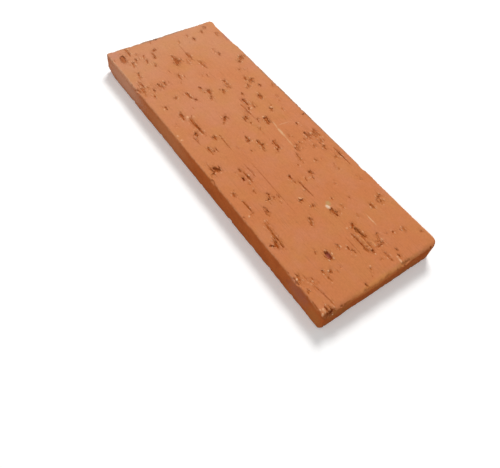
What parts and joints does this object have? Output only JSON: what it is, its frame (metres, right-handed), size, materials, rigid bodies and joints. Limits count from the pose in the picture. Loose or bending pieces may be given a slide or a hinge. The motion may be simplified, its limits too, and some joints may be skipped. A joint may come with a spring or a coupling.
{
  "type": "rustic brick slip",
  "caption": "Thin rectangular fired-clay facing tile with a torn, drag-marked face, worn edges and a flat back for bonding to a wall.",
  "frame": {"origin": "centre of the flat back, on the surface that the slip lies on", "axes": "+X along the length, the way the drag marks run; +Y across the width; +Z out of the torn face"},
  "size_m": [0.245, 0.09, 0.015],
  "materials": {
    "fired_clay": "unglazed matt terracotta, torn face"
  },
  "bodies": {
    "root": {"brick_slip": "fired_clay"}
  },
  "joints": []
}
